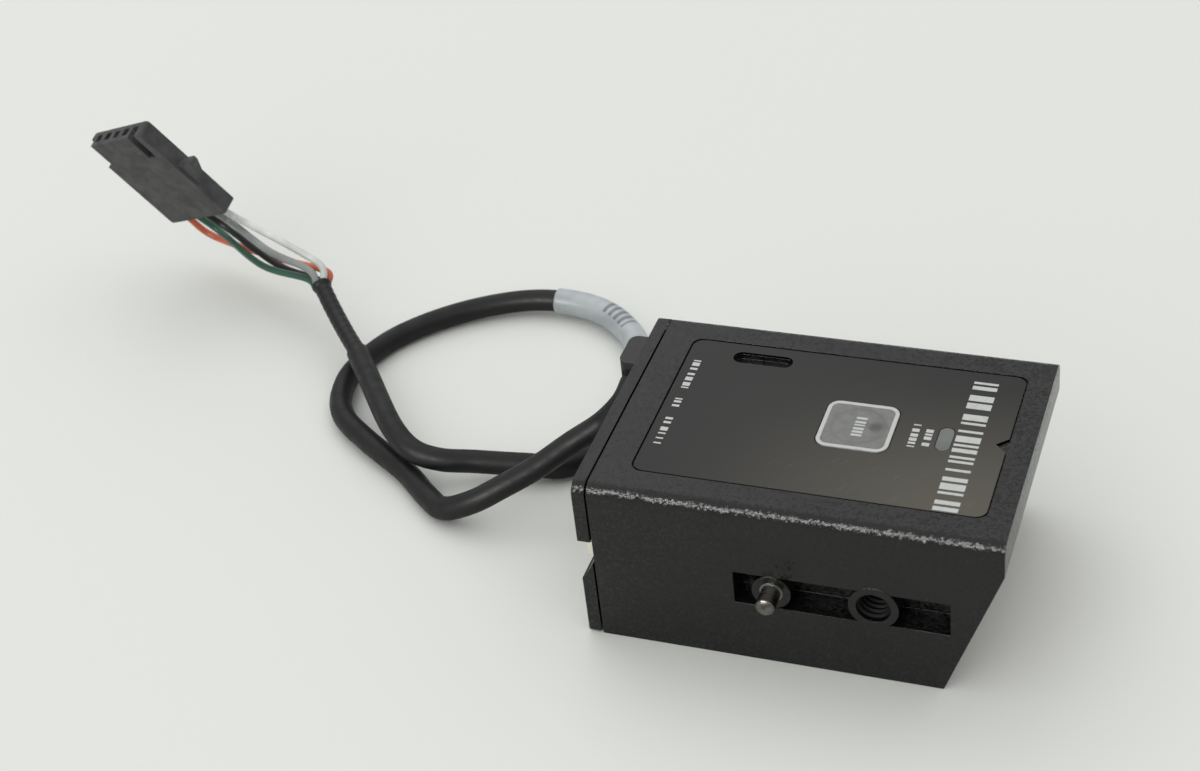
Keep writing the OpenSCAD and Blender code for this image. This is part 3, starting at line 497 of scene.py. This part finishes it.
def sweep(name, line, material, sides=28, closed=False):
    """Tube skin round a line of (middle, radius), with capped ends, or joined end to end when closed.

    Stores how far along each point is from the middle of the line, or of a closed line's outer half, and how
    much it faces up, for materials.
    """
    points = [p for p, _ in line]
    runs = [0.0]
    for a, b in zip(points, points[1:]):
        runs.append(runs[-1] + (b - a).length)
    middle = runs[-1] / (4 if closed else 2)
    side = None
    corners, faces, along, side_up = [], [], [], []
    for i, (point, radius) in enumerate(line):
        ahead = points[min(i + 1, len(points) - 1)] - points[max(i - 1, 0)]
        if ahead.length > 1e-9:
            heading = ahead.normalized()
        if side is None:
            side = heading.orthogonal().normalized()
        side = (side - heading * side.dot(heading)).normalized()
        up = heading.cross(side)
        for k in range(sides):
            angle = 2 * math.pi * k / sides
            out = side * math.cos(angle) + up * math.sin(angle)
            corners.append(point + out * radius)
            along.append(runs[i] - middle)
            side_up.append(out.z)
    rows = len(line) if closed else len(line) - 1
    for i in range(rows):
        a, b = i * sides, (i + 1) % len(line) * sides
        for k in range(sides):
            n = (k + 1) % sides
            faces.append((a + k, a + n, b + n, b + k))
    if not closed:
        faces.append(tuple(range(sides))[::-1])
        faces.append(tuple(len(corners) - sides + k for k in range(sides)))
    piece = mesh_piece(name, corners, faces, material, smooth=True)
    for key, values in (("along", along), ("side_up", side_up)):
        stored = piece.data.attributes.new(key, "FLOAT", "POINT")
        stored.data.foreach_set("value", values)
    return piece


def mesh_piece(name, corners, faces, material, smooth=False):
    """New mesh object in the scene, from corner points and faces."""
    data = bpy.data.meshes.new(name)
    data.from_pydata([tuple(c) for c in corners], [], faces)
    data.polygons.foreach_set("use_smooth", [smooth] * len(data.polygons))
    data.materials.append(material)
    data.update()
    piece = bpy.data.objects.new(name, data)
    scene.collection.objects.link(piece)
    return piece


def rounded_ends(line, lip):
    """Swaps both end rings for three that shrink towards the end, so that the cut edge is soft."""
    def end(row, following):
        point, radius = row
        inward = (following[0] - point).normalized() * lip
        return [(point, radius - lip), (point + inward * 0.3, radius - lip * 0.3), (point + inward, radius)]

    return end(line[0], line[1]) + line[1:-1] + end(line[-1], line[-2])[::-1]


def finish_piece(piece, body, slot, *nodes):
    """Rides a piece on its body and hides the CAD nodes it stands for. The slot is not used."""
    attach(piece, body)
    if nodes:
        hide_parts(*nodes)
    return piece


def near_node(point, node, reach):
    """True if one of the node's corners is within reach of the point."""
    return any((v.co - point).length < reach for v in frame["nodes"][node].data.vertices)


def build_jacket(jacket):
    skin = cable_skin("jacket_skin", (0.006, 0.0064, 0.006), 0.5)
    piece = sweep("cable_jacket_skin", rounded_ends(refine(jacket, 3), 0.2 * MM), skin, 32)
    finish_piece(piece, "case", "black_rubber", "cable_jacket")


def build_marker(jacket):
    """Sleeve with a wall, round the stretch of the jacket that the CAD marker covers."""
    wall = 0.24 * MM
    gap = 0.03 * MM
    slack = 0.1 * MM
    low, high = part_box("cable_marker")
    covered = [
        row for row in jacket
        if all(low[k] - slack < row[0][k] < high[k] + slack for k in (0, 1))
        and near_node(row[0], "cable_marker", row[1] + 2 * wall)
    ]
    fine = refine(covered, 4)
    outer = rounded_ends([(p, r + gap + wall) for p, r in fine], 0.08 * MM)
    inner = [(p, r + gap) for p, r in reversed(fine)]
    piece = sweep("cable_marker_sleeve", outer + inner, marker_film(), 32, closed=True)
    finish_piece(piece, "case", "marker_sleeve", "cable_marker")


def build_fork_sleeve(jacket):
    """Shrink sleeve with slight lumps, turned in at its mouth, where the wires leave."""
    lumps = 0.035
    cable_end = jacket[-1][0]
    line = refine(centreline("shrink_sleeve"), 5)
    if (line[0][0] - cable_end).length > (line[-1][0] - cable_end).length:
        line.reverse()
    shrunk = [
        (p, r * (1 + lumps * math.sin(i * 1.9) * math.sin(i * 0.7)))
        for i, (p, r) in enumerate(line)
    ]
    mouth, mouth_r = shrunk[-1]
    back = (shrunk[-3][0] - mouth).normalized()
    lip = [(mouth, mouth_r - 0.12 * MM), (mouth + back * 0.5 * MM, mouth_r - 0.18 * MM)]
    skin = cable_skin("sleeve_skin", (0.008, 0.008, 0.0085), 0.42)
    finish_piece(sweep("fork_sleeve", shrunk + lip, skin), "case", "black_rubber", "shrink_sleeve")


def build_wires():
    wires = {
        "wire_white": (0.5, 0.51, 0.49),
        "wire_green": (0.03, 0.085, 0.06),
        "wire_black": (0.012, 0.012, 0.013),
        "wire_grey": (0.2, 0.215, 0.21),
        "wire_red": (0.5, 0.12, 0.06),
    }
    for node, color in wires.items():
        skin = cable_skin(node + "_skin", color, 0.36)
        line = rounded_ends(refine(centreline(node), 3), 0.06 * MM)
        finish_piece(sweep(node + "_insulation", line, skin, 20), "case", node, node)


def build_cable():
    jacket = centreline("cable_jacket")
    build_jacket(jacket)
    build_marker(jacket)
    build_fork_sleeve(jacket)
    build_wires()


# ---- prints: plain marks that stand in for the lettering ----

class Print:
    """Thin bars of ink on one level face, gathered into one mesh."""

    def __init__(self, z, shuffle):
        self.z = z
        self.shuffle = shuffle
        self.corners, self.faces = [], []

    def bar(self, x, y, length, width):
        """Adds one bar centred on x, y, with its length along X."""
        ink_thick = 0.012 * MM
        base = len(self.corners)
        for level in (self.z, self.z + ink_thick):
            for sx, sy in ((-1, -1), (1, -1), (1, 1), (-1, 1)):
                self.corners.append(Vector((x + sx * length / 2, y + sy * width / 2, level)))
        self.faces.append((base + 3, base + 2, base + 1, base))
        self.faces.append((base + 4, base + 5, base + 6, base + 7))
        for k in range(4):
            n = (k + 1) % 4
            self.faces.append((base + k, base + n, base + 4 + n, base + 4 + k))

    def row(self, x, y0, y1, length, widths):
        """Adds bars from y0 to y1, whose widths and gaps are drawn from widths in millimetres."""
        y = y0 * MM
        while y < y1 * MM:
            width = self.shuffle.choice(widths) * MM
            if y + width > y1 * MM:
                break
            self.bar(x, y + width / 2, length, width)
            y += width + self.shuffle.choice(widths) * MM

    def finish(self, name, body, slot, ink):
        finish_piece(mesh_piece(name, self.corners, self.faces, ink), body, slot)


def build_prints(ink):
    """A wide band by the window, two short lines by the lamp, a small line at the back, and a button mark."""
    low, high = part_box("top_label")
    button_low, button_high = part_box("scan_button")
    lamp = sum(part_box("indicator_lens"), Vector()) / 2
    button = (button_low + button_high) / 2
    shuffle = random.Random(7)

    label = Print(high.z, shuffle)
    label.row(high.x - 3.95 * MM, -11, 10.5, 2.5 * MM, (0.35, 0.6, 0.95))
    for offset, half in ((-3.1, 1.9), (-1.7, 1.5)):
        across = lamp.y / MM
        label.row(lamp.x + offset * MM, across - half, across + half, 0.75 * MM, (0.18, 0.3, 0.5))
    for y0, y1 in ((-6.8, -2.2), (-0.6, 0.9), (2.6, 7.9)):
        label.row(low.x + 1.35 * MM, y0, y1, 0.8 * MM, (0.2, 0.34, 0.6))
    label.finish("label_print", "case", "label_film", ink)

    mark = Print(button_high.z, shuffle)
    mark.row(button.x + 0.15 * MM, -1.6, 1.6, 1.1 * MM, (0.2, 0.32))
    mark.finish("button_print", "button", "button_film", ink)


def rounded_square(half, radius, steps=10):
    """Corner points of a square with round corners, anticlockwise."""
    made = []
    for turn, (sx, sy) in enumerate(((1, 1), (-1, 1), (-1, -1), (1, -1))):
        for k in range(steps + 1):
            angle = math.radians(90 * turn + 90 * k / steps)
            made.append((sx * (half - radius) + radius * math.cos(angle),
                         sy * (half - radius) + radius * math.sin(angle)))
    return made


def build_button_ring(ink):
    """White frame printed round the button's face, with a soft raised section."""
    low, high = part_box("scan_button")
    middle = (low + high) / 2
    half = 3.72 * MM
    corner_r = 1.25 * MM
    width = 0.46 * MM
    rise = 0.05 * MM
    foot = 0.03 * MM
    shoulder = 0.1 * MM
    section = ((0, 0), (foot, rise * 0.7), (shoulder, rise),
               (width - shoulder, rise), (width - foot, rise * 0.7), (width, 0))
    corners, faces = [], []
    for inward, up in section:
        for x, y in rounded_square(half - inward, corner_r - inward):
            corners.append(Vector((middle.x + x, middle.y + y, high.z + up)))
    count = len(corners) // len(section)
    for row in range(len(section)):
        nxt = (row + 1) % len(section)
        for k in range(count):
            n = (k + 1) % count
            faces.append((row * count + k, row * count + n, nxt * count + n, nxt * count + k))
    finish_piece(mesh_piece("button_frame", corners, faces, ink, smooth=True), "button", "button_film")


def build_thread(material):
    """Helical crest that stands inward from just inside the wall of the side screw hole."""
    hole = next(m for m in frame["record"]["mounts"] if m["name"] == "side_screw_hole")
    mouth = Vector(hole["pos_m"])
    radius = hole["dims"]["r_mm"] * MM
    depth = hole["dims"]["length_mm"] * MM
    pitch = 0.7 * MM
    per_turn = 40
    lead_in = 0.35 * MM
    clearance = 0.005 * MM
    crest = 0.2 * MM
    root_half = 0.27 * MM
    tip_half = 0.03 * MM
    section = ((0.0, root_half), (crest, tip_half), (crest, -tip_half), (0.0, -root_half))
    turns = (depth - 2 * lead_in) / pitch
    total = int(turns * per_turn)
    corners, faces = [], []
    for i in range(total + 1):
        angle = 2 * math.pi * i / per_turn
        y = mouth.y + lead_in + pitch * i / per_turn
        for inward, shift in section:
            r = radius - clearance - inward
            corners.append(Vector((mouth.x + r * math.cos(angle), y + shift, mouth.z + r * math.sin(angle))))
    ring = len(section)
    for i in range(total):
        for k in range(ring):
            n = (k + 1) % ring
            faces.append((i * ring + k, i * ring + n, (i + 1) * ring + n, (i + 1) * ring + k))
    faces.append((3, 2, 1, 0))
    faces.append(tuple(total * ring + k for k in range(ring)))
    finish_piece(mesh_piece("screw_hole_thread", corners, faces, material), "case", "case_paint")


# ---- CAD nodes: materials, and a small real bevel on sharp edges ----

def dress(material, *nodes, bevel=0.0, segments=2):
    """Gives nodes a material and, if asked, rounds their sharp edges.

    The triangles of each flat face are joined first, so that the bevel meets real edges only, and the normals
    are then weighted by face size, which keeps the flat faces flat.
    """
    flat_angle = math.radians(0.6)
    sharp_angle = math.radians(32)
    for node in nodes:
        obj = frame["nodes"][node]
        obj.data.materials.clear()
        obj.data.materials.append(material)
        if not bevel:
            continue
        obj.data.polygons.foreach_set("use_smooth", [True] * len(obj.data.polygons))
        weld = obj.modifiers.new("weld", "WELD")
        weld.merge_threshold = 0.001 * MM
        flat = obj.modifiers.new("flat", "DECIMATE")
        flat.decimate_type = "DISSOLVE"
        flat.angle_limit = flat_angle
        soft = obj.modifiers.new("bevel", "BEVEL")
        soft.width = bevel
        soft.segments = segments
        soft.limit_method = "ANGLE"
        soft.angle_limit = sharp_angle
        soft.use_clamp_overlap = True
        soft.miter_outer = "MITER_ARC"
        even = obj.modifiers.new("even", "WEIGHTED_NORMAL")
        even.mode = "FACE_AREA"
        even.weight = 100


def dress_outside():
    paint = case_paint()
    dress(paint, "housing", bevel=0.14 * MM)
    dress(paint, "rear_cover", bevel=0.12 * MM)
    dress(label_film(), "top_label", bevel=0.04 * MM)
    dress(button_face(), "scan_button", bevel=0.12 * MM)
    lamp_window = grainy("lamp_window", (0.15, 0.148, 0.136), 0.4, Subsurface_Weight=0.2)
    dress(lamp_window, "indicator_lens", bevel=0.06 * MM)
    dress(turned_steel(), "locating_pin", bevel=0.03 * MM)
    rubber = grainy("outlet_rubber", (0.01, 0.0105, 0.01), 0.5, 0.2 * MM, 0.015 * MM)
    dress(rubber, "strain_relief", bevel=0.4 * MM, segments=4)
    dress(grainy("bright_clip", (0.72, 0.69, 0.6), 0.24, metallic=1.0), "ground_clip")
    screw = grainy("zinc_screw", (0.5, 0.5, 0.5), 0.32, 0.1 * MM, 0.003 * MM, metallic=1.0)
    dress(screw, "cover_screws", bevel=0.05 * MM)
    dress(screw, "chassis_screws", "board_screws", "pivot_pin", "pivot_clip", "coil_core")
    dress(tinted_glass(), "front_window", bevel=0.08 * MM)
    dress(plug_plastic(), "plug_housing", bevel=0.16 * MM)
    dress(grainy("contact_metal", (0.66, 0.6, 0.42), 0.3, metallic=1.0), "plug_contacts")


def dress_inside():
    dress(grainy("filter_glass", (0.12, 0.01, 0.02), 0.1), "optical_filter")
    dress(grainy("gasket_foam", (0.015, 0.015, 0.015), 0.85, 0.3 * MM, 0.05 * MM), "window_gasket")
    dress(circuit_board(), "main_board", "receiver_board")
    resin = grainy("chip_resin", (0.02, 0.02, 0.021), 0.45)
    dress(resin, "processor_chip", "memory_chip", "buzzer", "switch_body")
    cream = grainy("cream_plastic", (0.62, 0.58, 0.46), 0.45)
    dress(cream, "board_header", "inner_plug", "coil_bobbin")
    dress(grainy("lamp_resin", (0.75, 0.75, 0.66), 0.3, Subsurface_Weight=0.3), "status_lamp")
    dress(grainy("plunger_plastic", (0.5, 0.15, 0.05), 0.4), "switch_plunger")
    dress(cable_skin("inner_wire_skin", (0.5, 0.08, 0.04)), "inner_wires")
    casting = grainy("cast_chassis", (0.2, 0.205, 0.21), 0.45, 0.25 * MM, 0.02 * MM, metallic=0.9)
    dress(casting, "optical_chassis", bevel=0.15 * MM)
    brass = grainy("turned_brass", (0.62, 0.44, 0.17), 0.28, 0.08 * MM, 0.004 * MM, metallic=1.0)
    dress(brass, "laser_barrel", "laser_diode")
    dress(lens_glass(), "collimating_lens", "receiver_lens")
    silver = grainy("mirror_silver", (0.9, 0.92, 0.93), 0.03, 0.5 * MM, 0.0002 * MM, 0.02, metallic=1.0)
    dress(silver, "scan_mirror")
    dress(grainy("carrier_plastic", (0.03, 0.03, 0.034), 0.45), "mirror_carrier")
    dress(grainy("nickel", (0.6, 0.6, 0.6), 0.2, metallic=1.0), "rotor_magnet")
    dress(wound_copper(), "drive_coil")
    dress(grainy("sensor_resin", (0.02, 0.012, 0.03), 0.15), "photodiode")
    dress(grainy("amber_film", (0.42, 0.18, 0.03), 0.25), "flex_strip")


# ---- stage, light and camera ----

def build_stage():
    """Plain pale floor."""
    reach = 3.0
    drop = -0.01 * MM
    corners = [(-reach, -reach, drop), (reach, -reach, drop), (reach, reach, drop), (-reach, reach, drop)]
    made = Surface("floor", (0.73, 0.74, 0.7), 0.6)
    made.set("Base Color", made.mix(made.noise(0.4, 2), (0.71, 0.722, 0.69), (0.75, 0.762, 0.73)))
    made.set("Specular IOR Level", 0.2)
    mesh_piece("floor", corners, [(0, 1, 2, 3)], made.material)


def add_area(name, direction, distance, size, power, color=(1, 1, 1)):
    """Panel that faces the origin from a direction, with its first side turned towards X."""
    light = bpy.data.lights.new(name, "AREA")
    light.shape = "RECTANGLE"
    light.size, light.size_y = size
    light.energy = power
    light.color = color
    obj = bpy.data.objects.new(name, light)
    scene.collection.objects.link(obj)
    away = Vector(direction).normalized()
    side = (Vector((1, 0, 0)) - away * away.x).normalized()
    turn = Matrix((side, away.cross(side), away)).transposed()
    obj.matrix_world = Matrix.Translation(away * distance) @ turn.to_4x4()
    return obj


def build_world():
    """Sky that grows brighter from dim, low down, to bright overhead."""
    low_z, high_z = 0.6, 0.85
    dim, bright = 0.56, 1.3
    world = bpy.data.worlds.new("studio")
    scene.world = world
    world.use_nodes = True
    nodes, links = world.node_tree.nodes, world.node_tree.links
    height = nodes.new("ShaderNodeSeparateXYZ")
    links.new(nodes.new("ShaderNodeTexCoord").outputs["Generated"], height.inputs[0])
    rise = nodes.new("ShaderNodeMapRange")
    rise.interpolation_type = "SMOOTHSTEP"
    links.new(height.outputs["Z"], rise.inputs["Value"])
    rise.inputs["From Min"].default_value = low_z
    rise.inputs["From Max"].default_value = high_z
    rise.inputs["To Min"].default_value = dim
    rise.inputs["To Max"].default_value = bright
    background = nodes["Background"]
    background.inputs["Color"].default_value = (0.97, 0.98, 0.97, 1)
    links.new(rise.outputs["Result"], background.inputs["Strength"])


def build_light():
    """Soft window behind, soft fill in front, and a narrow strip that only glints on edges and gloss."""
    behind = (-0.5, 0.56, 0.66)
    in_front = (-0.24, -0.81, 0.54)
    build_world()
    add_area("window", behind, 2.6, (2.4, 2.2), 12, (0.98, 1.0, 1.0))
    add_area("front_fill", in_front, 2.6, (2.4, 1.6), 10)
    glint = add_area("glint_strip", in_front, 1.1, (0.9, 0.16), 13, (1.0, 0.99, 0.97))
    glint.visible_diffuse = False
    scene.view_settings.view_transform = "Standard"


def build_camera():
    """Long lens from the near right, with the small roll of a hand-held shot."""
    lens_mm = 66.3
    stand = Vector((51.83, -169.55, 158.87)) * MM
    target = Vector((-27.04, 13.19, 10.0)) * MM
    roll = math.radians(-7.16)
    data = bpy.data.cameras.new("camera")
    data.lens = lens_mm
    data.sensor_width = 36.0
    data.clip_start = 0.01
    data.dof.use_dof = True
    data.dof.focus_object = frame["nodes"]["housing"]
    data.dof.aperture_fstop = 64
    camera = bpy.data.objects.new("camera", data)
    scene.collection.objects.link(camera)
    facing = (target - stand).to_track_quat("-Z", "Y").to_matrix()
    camera.matrix_world = Matrix.Translation(stand) @ (facing @ Matrix.Rotation(roll, 3, "Z")).to_4x4()
    scene.camera = camera


dress_outside()
dress_inside()
ink = print_ink()
build_cable()
build_prints(ink)
build_button_ring(ink)
build_thread(grainy("cut_thread", (0.003, 0.003, 0.0029), 0.7, Specular_IOR_Level=0.2))
build_stage()
build_light()
build_camera()
